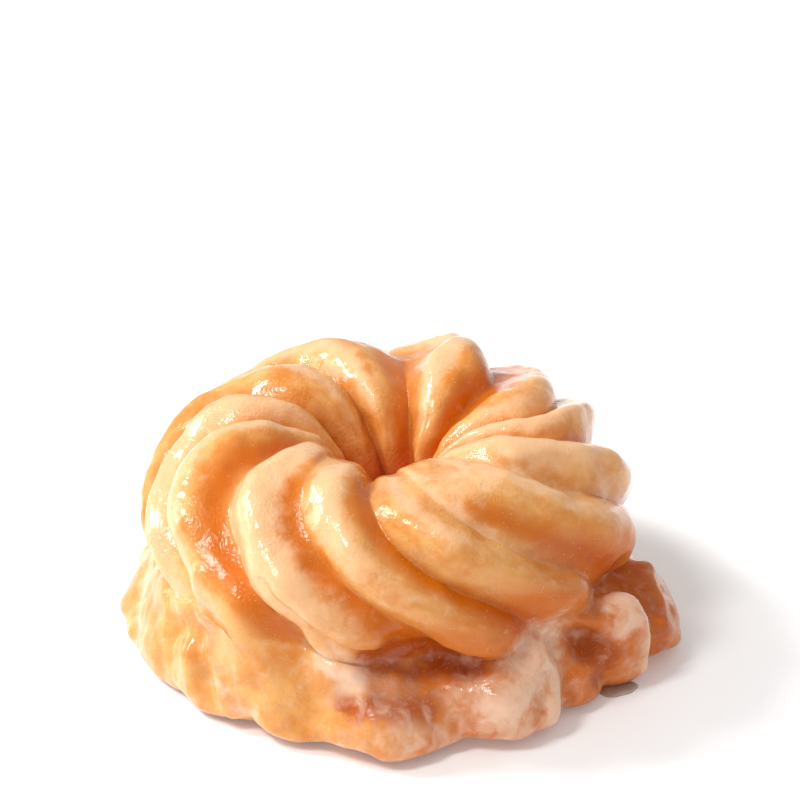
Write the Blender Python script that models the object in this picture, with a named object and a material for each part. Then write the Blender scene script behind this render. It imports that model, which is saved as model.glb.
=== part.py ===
# Honey cruller: a ring of choux dough piped as twelve swirled lobes over a spreading foot.
# Lengths below are in millimetres and angles in degrees. The mesh is scaled to metres at the end.
# Azimuth runs round the ring, counter-clockwise from above, and 270 is the front.
# The section angle runs round the ring's tube: 0 is outside, 90 the crown, 180 the hole, -90 below.
import bpy
import numpy as np

MILLIMETRE = 0.001

# Ring
RING_RADIUS = 22.0          # from the ring's axis to the middle of its tube
TUBE_HEIGHT = 20.5          # of the tube's middle above the table
HOLE_SHIFT = -1.5           # the hole lies a little left of the middle
HOLE_SHIFT_SPAN = (60, 120) # section angles over which the shift comes in
HOLE_SHIFT_END = 25         # degrees over which it goes again on the underside
CROWN_SHIFT = -1.2          # and the crown leans the same way
CROWN_SHIFT_HEIGHTS = (10, 24)
CORE_ANGLES = (-50, -25, -10, 0, 30, 60, 90, 120, 150, 180, 215, 250)
CORE_RADII = (11.8, 12.6, 13.5, 13.9, 14.1, 14.2, 14.0, 13.8, 13.5, 13.2, 14.2, 18.0)
RELIEF_ANGLES = (-50, -30, -15, 0, 40, 90, 140, 180, 220, 240)
RELIEF_SHARES = (0.3, 0.6, 0.85, 1.0, 1.0, 1.0, 0.8, 0.5, 0.2, 0.0)
BACK_LEFT = 155             # azimuth where the ring is drawn in
BACK_LEFT_SPREAD = 60
BACK_LEFT_DRAW = 0.9
# Like each span below: from nothing at the first section angle to the whole at the second
BACK_LEFT_SPAN = (95, 45)

# Creases between the lobes, in order round the ring:
# azimuth at the crown, degrees trailed by the equator, curve of the trail,
# depth share at the crown, depth share outside, degrees trailed into the hole
CREASES = (
    (214, 34, 1.70, 0.90, 1.00, 30),
    (242, 36, 1.90, 0.15, 0.85, 30),
    (265, 38, 2.10, 0.65, 0.85, 5),
    (283, 45, 1.60, 0.50, 0.85, 10),
    (316, 46, 1.40, 0.75, 0.95, 20),
    (341, 56, 1.30, 0.85, 1.00, 30),
    (359, 74, 1.15, 1.00, 1.00, 30),
    (399, 64, 1.15, 1.00, 1.00, 30),
    (440, 47, 1.50, 0.95, 1.00, 30),
    (478, 62, 1.30, 0.90, 1.00, 35),
    (517, 48, 1.60, 0.80, 1.00, 35),
    (542, 38, 1.70, 0.95, 1.00, 36),
)

TRAIL_FADE = (0.85, 0.27)     # in quarter turns from the crown: where the trail starts to fade, and how fast
HOLE_CURVE = 1.4              # curve of a crease's way into the hole
HOLE_REACH = 1.2              # quarter turns from the crown where that way ends

# Lobes, each after the crease of the same place: height outside, height at the crown, lean of the crest
LOBES = (
    (4.9, 4.9, 0.0),
    (4.6, 4.3, 0.0),
    (4.3, 2.6, 0.0),
    (5.0, 3.9, 0.0),
    (4.4, 4.6, 0.0),
    (4.4, 4.6, 0.0),
    (4.6, 4.4, 0.35),
    (5.2, 5.4, 0.35),
    (4.6, 4.9, -0.3),
    (3.8, 4.3, 0.0),
    (3.6, 4.3, 0.0),
    (4.3, 4.9, 0.0),
)
LOBE_ROUNDNESS = (2.2, 0.7)   # powers of the lobe's rounded profile
OUTSIDE_SPAN = (105, 35)      # where a lobe's height at the crown gives way to its height outside
CREASE_SPAN = (90, 30)        # and a crease's depth at the crown to its depth outside
MERGED_LEFT = (214, 36)       # azimuth and half width where the lobes' ends flow into the foot
MERGED_SHARE = 0.75
MERGED_HEIGHT = 3.6
MERGED_SPAN = (18, -18)
# A lobe swells and thins along its length: share of its height, radians per degree of section angle,
# radians from one lobe's wave to the next lobe's
SWELLS = ((0.07, 0.065, 2.1), (0.049, 0.13, 3.7))

# Lumps of the foot: azimuth, half width, reach from the axis
FOOT_LUMPS = (
    (188, 14, 44.2), (207, 12, 42.8), (226, 12, 42.8), (248, 12, 41.4), (270, 14, 43.4), (301, 14, 42.4),
    (321, 8, 42.2), (335, 7, 44.6), (350, 8, 47.2), (367, 9, 43.0), (390, 14, 43.2), (416, 13, 43.8),
    (440, 13, 42.6), (463, 12, 43.4), (488, 13, 42.4), (511, 12, 43.2), (530, 10, 42.6),
)
LUMP_DEPTH = 2.6
LUMP_BLEND = 1.0            # softens the crease between two lumps
FOOT_SLANT = 8.0            # degrees that the lumps lean along the swirl
FOOT_SLANT_SPAN = (-100, -55)
# How far in from a lump's reach, and how high, the foot's surface is at each section angle
FOOT_ANGLES = (-122, -112, -103, -93, -80, -68, -57)
FOOT_INSETS = (8.0, 4.8, 2.8, 0.9, 0.0, 0.9, 2.5)
FOOT_HEIGHTS = (0.0, 0.0, 0.2, 1.8, 4.2, 7.4, 10.4)
FOOT_LIFT_SHARES = (0.0, 0.8, 1.0, 0.7, 0.2, 0.0, 0.0)
# Places where the foot's edge stands clear of the table: azimuth, half width, height
FOOT_LIFTS = ((259, 10, 1.2), (291, 15, 1.8), (234, 11, 1.0), (343, 11, 1.4), (75, 16, 1.4), (150, 14, 1.2))

# Waist, where the lobes' ends lie on the foot: azimuth, section angle, depth of the crease under the ends
WAIST = (
    (180, -22, 1.2), (195, -20, 0.6), (208, -13, 0.2), (224, -6, 0.0), (239, -9, 0.0), (252, -24, 2.6),
    (263, -22, 2.0), (275, -26, 2.4), (285, -30, 3.0), (300, -28, 2.6), (318, -25, 3.0), (335, -25, 3.2),
    (350, -25, 2.6), (370, -26, 2.4), (400, -27, 2.4), (440, -27, 2.2), (480, -27, 2.4), (510, -27, 2.0),
)
SHELF_ANGLE = 14              # degrees below the waist, of the top of the foot that the ends lie on
SHELF_INSET = 3.0             # in from the foot's reach
SHELF_HEIGHT = 12.4
SHELF_SHARES = (0.7, 0.5)     # the shelf's way from the crease's place to its own, across and up
CREASE_ANGLE = 6              # degrees below the waist, of the crease under the ends
CREASE_INSET = 2.5            # the crease is at least this far in from the foot's reach
CREASE_DROP = 0.8             # and this far below the lobe's end

# Mesh
COLUMNS_PER_LOBE = 12
RINGS = 41
CREASE_CROWDING = 0.035      # draws the columns towards the creases
HOLE_FOOT = 215             # section angle where the hole's wall turns under
UNDERSIDE_END = 238         # the same place as -122
TURN_BACK_START = 185       # from here the mesh's columns turn back from the hole's creases to the foot's
SETTLED = 1 / 3             # share of the underside that slopes from the hole's wall down to the table
WAIST_PASSES = 4            # the waist's angle and a column's azimuth depend on each other


def smooth_step(x):
    x = np.clip(x, 0, 1)
    return x * x * (3 - 2 * x)


def smooth_max(a, b, blend):
    """The larger of two heights, with the corner between them rounded."""
    share = np.clip(0.5 + 0.5 * (a - b) / blend, 0, 1)
    return b + (a - b) * share + blend * share * (1 - share)


def ease(angle, span):
    """0 at the first angle of a span and 1 at the second, eased between them."""
    return smooth_step((angle - span[0]) / (span[1] - span[0]))


def bump(azimuth, centre, half_width):
    """1 at the centre, falling to 0 at half_width degrees to each side."""
    away = (azimuth - centre + 180) % 360 - 180
    return np.clip(1 - (away / half_width) ** 2, 0, 1)


def curve_through(x, positions, values):
    """A smooth curve through points. Each slope is read from a point's two neighbours."""
    positions = np.stack([np.broadcast_to(p, x.shape) for p in positions]).astype(float)
    values = np.stack([np.broadcast_to(v, x.shape) for v in values]).astype(float)
    last = len(positions) - 1
    after = [min(k + 1, last) for k in range(last + 1)]
    before = [max(k - 1, 0) for k in range(last + 1)]
    slopes = (values[after] - values[before]) / (positions[after] - positions[before])
    index = np.zeros(x.shape, int)
    for k in range(1, last):
        index += x >= positions[k]

    def pick(stack, k):
        return np.take_along_axis(stack, k[None], 0)[0]

    start = pick(positions, index)
    length = pick(positions, index + 1) - start
    t = np.clip((x - start) / length, 0, 1)
    return ((1 + 2 * t) * (1 - t) ** 2 * pick(values, index)
            + t * (1 - t) ** 2 * length * pick(slopes, index)
            + t * t * (3 - 2 * t) * pick(values, index + 1)
            + t * t * (t - 1) * length * pick(slopes, index + 1))


def round_the_ring(azimuth, stations, column):
    """A station table's value at any azimuth, eased from each station to the next."""
    places = np.array([s[0] for s in stations] + [stations[0][0] + 360], float)
    values = np.array([s[column] for s in stations] + [stations[0][column]], float)
    turned = (azimuth - places[0]) % 360 + places[0]
    index = np.clip(np.searchsorted(places, turned, side="right") - 1, 0, len(stations) - 1)
    t = smooth_step((turned - places[index]) / (places[index + 1] - places[index]))
    return values[index] + (values[index + 1] - values[index]) * t


def crease_azimuths(angle):
    """Where every crease is at a section angle: it trails the swirl outside and leads it in the hole."""
    outward = np.clip((90 - angle) / 90, 0, None)
    fade_start, fade_length = TRAIL_FADE
    faded = fade_start + fade_length * (1 - np.exp(-np.maximum(outward - fade_start, 0) / fade_length))
    outward = np.minimum(outward, faded)
    inward = np.clip((angle - 90) / 90, 0, HOLE_REACH)
    paths = [c[0] + c[1] * outward ** c[2] - c[5] * inward ** HOLE_CURVE for c in CREASES]
    paths.append(paths[0] + 360)
    return np.stack(paths)


def lobe_height(azimuth, angle):
    """Height of the swirl over the core, and of a crease's floor where two lobes meet."""
    paths = crease_azimuths(angle)
    turned = (azimuth - paths[0]) % 360 + paths[0]
    lobe = np.zeros(turned.shape, int)
    for k in range(1, len(CREASES)):
        lobe += turned >= paths[k]
    left = np.take_along_axis(paths, lobe[None], 0)[0]
    right = np.take_along_axis(paths, lobe[None] + 1, 0)[0]
    across = 2 * (turned - left) / (right - left) - 1
    count = len(LOBES)
    table = np.array(LOBES)
    outside = ease(angle, OUTSIDE_SPAN)

    def height_of(k):
        swell = 1 + sum(share * np.sin(rate * angle + start * k) for share, rate, start in SWELLS)
        return (table[k, 1] + (table[k, 0] - table[k, 1]) * outside) * swell

    here = height_of(lobe)
    before = height_of((lobe - 1) % count)
    after = height_of((lobe + 1) % count)
    depths = np.array([c[3:5] for c in CREASES])
    low = ease(angle, CREASE_SPAN)
    depth = depths[:, 0][:, None] + (depths[:, 1] - depths[:, 0])[:, None] * low.ravel()[None]
    flat = np.arange(low.size)
    left_depth = depth[lobe.ravel(), flat].reshape(lobe.shape)
    right_depth = depth[((lobe + 1) % count).ravel(), flat].reshape(lobe.shape)
    left_floor = (here + before) / 2 * (1 - left_depth)
    right_floor = (here + after) / 2 * (1 - right_depth)
    floor = left_floor + (right_floor - left_floor) * smooth_step((across + 1) / 2)
    across = np.clip(across + table[lobe, 2] * (1 - across ** 2), -1, 1)
    outer_power, inner_power = LOBE_ROUNDNESS
    height = floor + (here - floor) * (1 - np.abs(across) ** outer_power) ** inner_power
    merged = MERGED_SHARE * bump(azimuth, *MERGED_LEFT) * ease(angle, MERGED_SPAN)
    return height + (MERGED_HEIGHT - height) * merged


def tube_radius(azimuth, angle):
    """Distance of the swirl's surface from the middle of the tube."""
    core = curve_through(angle, CORE_ANGLES, CORE_RADII)
    relief = np.interp(angle, RELIEF_ANGLES, RELIEF_SHARES)
    drawn_in = BACK_LEFT_DRAW * bump(azimuth, BACK_LEFT, BACK_LEFT_SPREAD) * ease(angle, BACK_LEFT_SPAN)
    return core + relief * lobe_height(azimuth, angle) - drawn_in


def on_tube(azimuth, angle):
    """Distance from the axis and height of a point of the swirl."""
    radius = tube_radius(azimuth, angle)
    turned = np.radians(angle)
    return RING_RADIUS + radius * np.cos(turned), TUBE_HEIGHT + radius * np.sin(turned)


def foot_reach(azimuth):
    """How far the foot's lumps reach, each one a rounded bulge that meets the next in a soft crease."""
    reach = np.full(azimuth.shape, -1e9)
    for centre, half_width, lump_reach in FOOT_LUMPS:
        away = (azimuth - centre + 180) % 360 - 180
        reach = smooth_max(reach, lump_reach - LUMP_DEPTH * (away / half_width) ** 2, LUMP_BLEND)
    return reach


def foot_section(azimuth, angle, waist):
    """The lower part of the section: foot, crease under the lobes' ends, and the ends themselves."""
    slant = FOOT_SLANT * np.interp(angle, FOOT_SLANT_SPAN, (0, 1))
    reach = foot_reach(azimuth + slant)
    lift = sum(height * bump(azimuth, centre, half_width) ** 2 for centre, half_width, height in FOOT_LIFTS)
    end_out, end_up = on_tube(azimuth, waist)
    depth = round_the_ring(azimuth, WAIST, 2)
    crease_out = np.minimum(end_out, reach - CREASE_INSET) - depth
    crease_up = end_up - CREASE_DROP
    across, upward = SHELF_SHARES
    shelf_out = crease_out + (reach - SHELF_INSET - crease_out) * across
    shelf_up = crease_up + (SHELF_HEIGHT - crease_up) * upward
    angles = list(FOOT_ANGLES) + [waist - SHELF_ANGLE, waist - CREASE_ANGLE, waist]
    outs = [reach - inset for inset in FOOT_INSETS] + [shelf_out, crease_out, end_out]
    ups = [height + lift * share for height, share in zip(FOOT_HEIGHTS, FOOT_LIFT_SHARES)]
    ups += [shelf_up, crease_up, end_up]
    return curve_through(angle, angles, outs), curve_through(angle, angles, ups)


def underside(azimuth, angle):
    """From the foot of the hole's wall, down to the table and out to the inside of the foot."""
    share = np.clip((angle - HOLE_FOOT) / (UNDERSIDE_END - HOLE_FOOT), 0, 1)
    start_out, start_up = on_tube(azimuth, np.full(angle.shape, float(HOLE_FOOT)))
    end_out = foot_reach(azimuth) - FOOT_INSETS[0]
    settle = np.clip(share / SETTLED, 0, 1)
    return start_out + (end_out - start_out) * share, start_up * (1 - np.sin(settle * np.pi / 2))


def section_angles(share, waist):
    """Section angle of each ring of the mesh: close together round the foot and the waist."""
    stops = list(FOOT_ANGLES) + [waist - 14, waist - 10, waist - 6, waist - 3, waist]
    stops += [waist + (90 - waist) * k / 11 for k in range(1, 12)]
    stops += [90 + (HOLE_FOOT - 90) * k / 13 for k in range(1, 14)]
    stops += [HOLE_FOOT + (UNDERSIDE_END - HOLE_FOOT) * k / 6 for k in range(1, 7)]
    stops = np.stack([np.broadcast_to(s, share.shape) for s in stops]).astype(float)
    place = share * (len(stops) - 1)
    index = np.clip(place.astype(int), 0, len(stops) - 2)
    low = np.take_along_axis(stops, index[None], 0)[0]
    high = np.take_along_axis(stops, index[None] + 1, 0)[0]
    return low + (high - low) * (place - index)


def column_azimuths(column, angle):
    """The mesh's columns follow the creases, and turn back to the foot's columns on the underside."""
    lobe = np.clip(column.astype(int), 0, len(CREASES) - 1)
    across = column - lobe
    eased = across - CREASE_CROWDING * np.sin(4 * np.pi * across)

    def at(place):
        paths = crease_azimuths(place)
        left = np.take_along_axis(paths, lobe[None], 0)[0]
        right = np.take_along_axis(paths, lobe[None] + 1, 0)[0]
        return left + (right - left) * eased

    turned_back = smooth_step((angle - TURN_BACK_START) / (UNDERSIDE_END - TURN_BACK_START))
    return at(angle) + (at(np.full(angle.shape, float(FOOT_ANGLES[0]))) - at(angle)) * turned_back


def cruller_points(column, share):
    """Points of the surface: column counts the lobes round the ring, share runs once round the tube."""
    azimuth = column_azimuths(column, np.zeros(column.shape))
    for _ in range(WAIST_PASSES):
        waist = round_the_ring(azimuth, WAIST, 1)
        angle = section_angles(share, waist)
        azimuth = column_azimuths(column, angle)
    out, up = on_tube(azimuth, angle)
    foot_out, foot_up = foot_section(azimuth, angle, waist)
    under_out, under_up = underside(azimuth, angle)
    out = np.where(angle < waist, foot_out, np.where(angle > HOLE_FOOT, under_out, out))
    up = np.where(angle < waist, foot_up, np.where(angle > HOLE_FOOT, under_up, up))
    up = np.maximum(up, 0)
    inner = ease(angle, HOLE_SHIFT_SPAN) * ease(angle, (UNDERSIDE_END, UNDERSIDE_END - HOLE_SHIFT_END))
    shift = (HOLE_SHIFT - CROWN_SHIFT) * inner + CROWN_SHIFT * ease(up, CROWN_SHIFT_HEIGHTS)
    turned = np.radians(azimuth)
    return np.stack([out * np.cos(turned) + shift, out * np.sin(turned), up], -1)


def clear_scene():
    for thing in list(bpy.data.objects):
        bpy.data.objects.remove(thing, do_unlink=True)


def glazed_dough():
    material = bpy.data.materials.new("glazed_dough")
    material.use_nodes = True
    shader = material.node_tree.nodes["Principled BSDF"]
    shader.inputs["Base Color"].default_value = (0.79, 0.40, 0.14, 1)
    shader.inputs["Roughness"].default_value = 0.25
    shader.inputs["Metallic"].default_value = 0.0
    return material


def build_cruller(collection):
    """A torus whose columns and rings are moved onto the cruller's surface."""
    columns = COLUMNS_PER_LOBE * len(LOBES)
    bpy.ops.mesh.primitive_torus_add(major_segments=columns, minor_segments=RINGS,
                                     major_radius=RING_RADIUS, minor_radius=10.0)
    cruller = bpy.context.object
    cruller.name = "cruller"
    mesh = cruller.data
    mesh.name = "cruller"
    points = np.empty(len(mesh.vertices) * 3)
    mesh.vertices.foreach_get("co", points)
    points = points.reshape(-1, 3)
    round_ring = np.arctan2(points[:, 1], points[:, 0]) / (2 * np.pi) % 1
    out = np.hypot(points[:, 0], points[:, 1]) - RING_RADIUS
    round_tube = np.arctan2(points[:, 2], out) / (2 * np.pi) % 1
    column = np.round(round_ring * columns) % columns
    ring = np.round(round_tube * RINGS) % RINGS
    moved = cruller_points(column / COLUMNS_PER_LOBE, ring / RINGS)
    middle = (moved.min(0) + moved.max(0)) / 2
    moved[:, :2] -= middle[:2]
    mesh.vertices.foreach_set("co", (moved * MILLIMETRE).ravel())
    mesh.update()
    mesh.shade_smooth()
    mesh.materials.append(glazed_dough())
    for holder in list(cruller.users_collection):
        holder.objects.unlink(cruller)
    collection.objects.link(cruller)
    return cruller


clear_scene()
parts = bpy.data.collections.new("honey_cruller")
bpy.context.scene.collection.children.link(parts)
build_cruller(parts)
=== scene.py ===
import math
import bpy
import numpy as np
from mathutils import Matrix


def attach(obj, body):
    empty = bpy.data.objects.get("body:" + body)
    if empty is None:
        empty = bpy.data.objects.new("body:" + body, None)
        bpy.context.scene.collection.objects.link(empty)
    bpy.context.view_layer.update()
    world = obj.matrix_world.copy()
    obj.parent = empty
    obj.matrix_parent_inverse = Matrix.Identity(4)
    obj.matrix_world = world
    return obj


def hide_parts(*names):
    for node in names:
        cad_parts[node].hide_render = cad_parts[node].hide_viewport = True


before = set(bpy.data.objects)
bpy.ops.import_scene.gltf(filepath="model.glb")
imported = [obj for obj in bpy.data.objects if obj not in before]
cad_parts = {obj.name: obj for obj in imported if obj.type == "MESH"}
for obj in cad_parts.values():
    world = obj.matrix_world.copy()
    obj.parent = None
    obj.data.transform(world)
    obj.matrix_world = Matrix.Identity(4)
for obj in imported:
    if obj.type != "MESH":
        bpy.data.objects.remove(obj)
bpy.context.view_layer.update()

# Glazed French cruller: choux dough piped as a ring of twelve swirled lobes, fried, then dipped in glaze.
# Lengths are in millimetres and angles in degrees until a mesh is made. Azimuth runs round the ring,
# counter-clockwise from above, with 270 at the front. The section angle runs round the tube: 0 outside,
# 90 crown, 180 hole, -90 below. A span is where something starts and where it is whole.

mm = 0.001
ringAxis = (-0.995, 0.172)      # the ring's axis, from the middle of the CAD box

ring = {
    "radius": 22.0,             # from the ring's axis to the middle of its tube
    "height": 20.5,             # of the tube's middle over the table
    "holeShift": -1.5,          # the hole lies a little left of the middle
    "holeShiftSpan": (60, 120),
    "holeShiftEnd": 25,         # degrees over which that shift goes again on the underside
    "crownShift": -1.2,         # and the crown leans the same way
    "crownShiftSpan": (10, 24),     # heights
    "coreAngles": (-50, -25, -10, 0, 30, 60, 90, 120, 150, 180, 215, 250),
    "coreRadii": (11.8, 12.6, 13.5, 13.9, 14.1, 14.2, 14.0, 13.8, 13.5, 13.2, 14.2, 18.0),
    "reliefAngles": (-50, -30, -15, 0, 40, 90, 140, 180, 220, 240),
    "reliefShares": (0.3, 0.6, 0.85, 1.0, 1.0, 1.0, 0.8, 0.5, 0.2, 0.0),
    "drawnIn": (155, 60, 0.9),  # azimuth, half width and depth where the back left is drawn in
    "drawnInSpan": (95, 45),
}

# One row a lobe: azimuth at the crown of the crease before it, degrees that crease trails by the equator,
# curve of the trail, crease depth at the crown and outside, degrees trailed into the hole,
# then the lobe's height outside and at the crown, and the lean of its crest
swirl = {
    "rows": (
        (214, 34, 1.70, 0.90, 1.00, 30, 4.9, 4.9, 0.0),
        (242, 36, 1.90, 0.15, 0.75, 30, 4.6, 4.3, 0.0),
        (265, 38, 2.10, 0.65, 0.85, 5, 4.3, 2.6, 0.0),
        (283, 45, 1.60, 0.02, 0.80, 10, 5.0, 3.9, 0.0),
        (316, 46, 1.40, 0.45, 0.90, 20, 4.4, 4.6, 0.0),
        (341, 56, 1.30, 0.85, 1.00, 30, 4.4, 4.6, 0.0),
        (359, 74, 1.15, 1.00, 1.00, 30, 4.6, 4.4, 0.35),
        (399, 64, 1.15, 1.00, 1.00, 30, 5.2, 5.4, 0.35),
        (440, 47, 1.50, 0.95, 1.00, 30, 4.6, 4.9, -0.3),
        (478, 62, 1.30, 0.90, 1.00, 35, 3.8, 4.3, 0.0),
        (517, 48, 1.60, 0.80, 1.00, 35, 3.6, 4.3, 0.0),
        (542, 38, 1.70, 0.95, 1.00, 36, 4.3, 4.9, 0.0),
    ),
    "fadeStart": 0.85,          # quarter turns from the crown where the trail starts to fade
    "fadeLength": 0.27,
    "holeCurve": 1.4,           # curve of a crease's way into the hole
    "holeReach": 1.2,           # quarter turns from the crown where that way ends
    "outsideSpan": (105, 35),   # where a lobe's height at the crown gives way to its height outside
    "creaseSpan": (90, 30),     # and a crease's depth at the crown to its depth outside
    "roundness": (2.2, 0.7),    # powers of a lobe's rounded profile
    "soft": 0.4,                # share of it that is a soft wave instead, hollow in its creases
    "softSpan": (110, 60),      # also where the crests start to lean
    # azimuth, and how far the crests lean there: positive towards the crease before the lobe
    "leans": ((180, 0.25), (256, 0.22), (285, 0.0), (310, -0.28),
              (345, -0.15), (365, 0.0), (500, 0.0), (520, 0.2)),
    "creaseFill": 0.10,         # share of a lobe's height that glaze fills in its creases
    "fillBlend": 0.16,          # how softly the fill meets the lobe
    # a lobe swells and thins along its length: share of its height, radians per degree of section angle,
    # radians from one lobe's wave to the next lobe's
    "swells": ((0.07, 0.065, 2.1), (0.049, 0.13, 3.7)),
    "merged": (214, 34, 0.55),  # azimuth, half width and share where the lobes' ends flow into the foot
    "mergedSpan": (18, -18),
    "evenHeight": 3.6,          # of the swirl where lobes and creases have flowed together
}

foot = {
    # azimuth, half width and reach of each lump
    "lumps": (
        (188, 14, 44.2), (207, 12, 42.8), (226, 12, 42.8), (248, 12, 41.4), (270, 14, 43.4), (301, 14, 42.4),
        (321, 8, 42.2), (335, 7, 44.8), (350, 8, 48.4), (367, 9, 43.6), (390, 14, 43.2), (416, 13, 43.8),
        (440, 13, 42.6), (463, 12, 43.4), (488, 13, 42.4), (511, 12, 43.2), (530, 10, 42.6),
    ),
    "lumpDepth": 2.6,
    "lumpBlend": 1.0,           # softens the crease between two lumps
    "slant": 8.0,               # degrees that the lumps lean along the swirl
    "slantSpan": (-100, -55),
    "angles": (-122, -112, -103, -93, -80, -68, -57),
    "insets": (8.0, 4.8, 2.8, 0.9, 0.0, 0.9, 2.5),
    "slopes": (0.0, 0.0, 0.0, 0.0, 0.7, 1.8, 2.8),      # further inset where the face slopes
    "calm": (0.0, 0.0, 0.0, 0.1, 0.4, 0.7, 1.0),        # share of the lumps that is evened out
    "calmSteps": (-10, -5, 0, 5, 10),                   # degrees over which it is evened out
    "heights": (0.0, 0.0, 0.2, 1.8, 4.0, 7.2, 10.2),
    "liftShares": (0.0, 0.8, 1.0, 0.7, 0.2, 0.0, 0.0),
    # azimuth, half width and height where the edge stands clear of the table
    "lifts": ((259, 10, 1.2), (291, 15, 1.8), (234, 11, 1.0), (343, 11, 1.4), (75, 16, 1.4), (150, 14, 1.2)),
    # where the lobes' ends lie on the foot: azimuth, section angle, depth of the crease, slope of the face
    "waist": (
        (180, -22, 1.2, 0.3), (195, -20, 0.6, 0.4), (208, -13, 0.1, 0.3), (224, -6, -0.3, 0.0),
        (239, -9, -0.2, 0.1), (249, -18, -0.5, 0.2), (256, -21, -1.0, 0.2), (265, -21, 1.0, 0.7),
        (275, -26, 2.0, 0.9), (287, -29, 0.7, 0.8), (299, -23, -0.2, 0.5), (309, -16, 0.2, 0.3),
        (320, -14, 0.6, 0.2), (329, -15, -1.0, 0.0), (338, -23, 1.8, 0.2), (346, -25, 1.4, 0.0),
        (356, -25, 2.2, 0.1), (370, -26, 2.4, 0.3), (400, -27, 2.4, 0.3), (440, -27, 2.2, 0.3),
        (480, -27, 2.4, 0.3), (510, -27, 2.0, 0.3),
    ),
    "creaseBelow": 6,           # degrees below the waist, of the crease under the lobes' ends
    "creaseInset": 2.5,         # the crease is at least this far in from the foot's reach
    "creaseDrop": 0.8,          # and this far below the lobe's end
    "shelfBelow": 14,           # degrees below the waist, of the shelf that the ends lie on
    "shelfOut": (0.7, -0.3),    # its way from the crease to the face, and what a sloping face adds
    "shelfUp": (0.15, 0.25),
    "carried": 0.55,            # share of the lobes' relief that runs on down the foot
    "carriedBelow": (-4, -18),  # a span from the waist
    "carriedSpan": (-96, -66),
    "holeFoot": 215,            # section angle where the hole's wall turns under
    "undersideEnd": 238,        # the same place as -122
    "settling": 3,              # times faster that the underside comes down than it goes out
}

grid = {
    "columnsPerLobe": 46,
    "rings": 176,
    "crowding": 0.035,          # draws the columns towards the creases
    "waistSteps": (14, 10, 6, 3, 0),    # degrees below the waist where rings lie
    "wallSteps": 14,            # stops from the waist to the crown, and on to the hole's foot
    "undersideSteps": 4,
    "turnBack": 185,            # from here the columns turn back from the hole's creases to the foot's
    "waistPasses": 4,           # the waist's angle and a column's azimuth depend on each other
}

skin = {
    # height and size of the dough's unevenness, from broad swellings to the blistered crust under the glaze
    "unevenness": ((0.55, 11.0), (0.38, 5.0), (0.18, 2.4), (0.07, 1.3)),
    "footUnevenness": ((0.9, 7.0), (0.6, 3.6), (0.2, 1.6)),
    "seeds": (3, 13),
    "footSpan": (4, -8),        # from the waist, where the foot's surface takes over
    "freeSpan": (0.3, 3.0),     # heights: the underside stays on the table
    "melt": 0.8,                # share of the way to its neighbours that a point moves in one round
    "ends": (14, (-92, -72), (16, 2)),  # rounds where the lobes' ends melt, spans of angle and from the waist
    "overall": (10, (2, 6)),    # rounds everywhere but at the table, span of heights
    "again": (3, 0.5, (16, 6)), # rounds after the folds, share of the way, span from the waist
    # azimuth, half width and further rounds where glaze closes the crease under the lobes' ends
    "sealed": ((257, 15, 14), (299, 14, 30)),
    "sealedSpan": (14, 5),
}

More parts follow.
